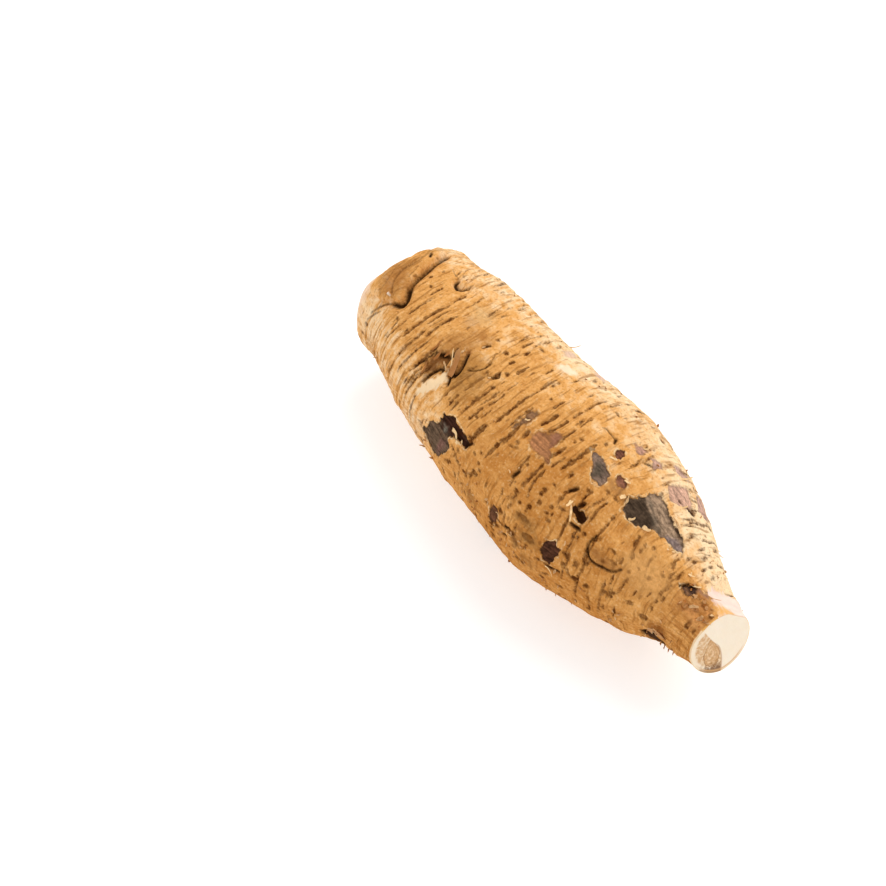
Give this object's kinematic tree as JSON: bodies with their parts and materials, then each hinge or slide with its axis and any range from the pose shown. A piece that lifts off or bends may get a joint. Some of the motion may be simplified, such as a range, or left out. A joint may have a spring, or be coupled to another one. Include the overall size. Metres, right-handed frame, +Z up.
{
  "type": "arrowroot tuber",
  "caption": "Thick spindle-shaped arrowroot tuber lying on its side, with growth rings, a knobby crown, rootlet pits, scaled bark patches and a trimmed pale neck.",
  "frame": {"origin": "middle of the tuber's bounding box, on the surface that it lies on", "axes": "+X along the tuber from its knobby crown to its cut neck, +Z up from the surface that it lies on"},
  "size_m": [0.2688, 0.0954, 0.0919],
  "materials": {
    "cork_skin": "dry, dull corky skin, golden tan with dark brown rings and specks, cream flesh where it is cut"
  },
  "bodies": {
    "root": {"tuber": "cork_skin"}
  },
  "joints": []
}
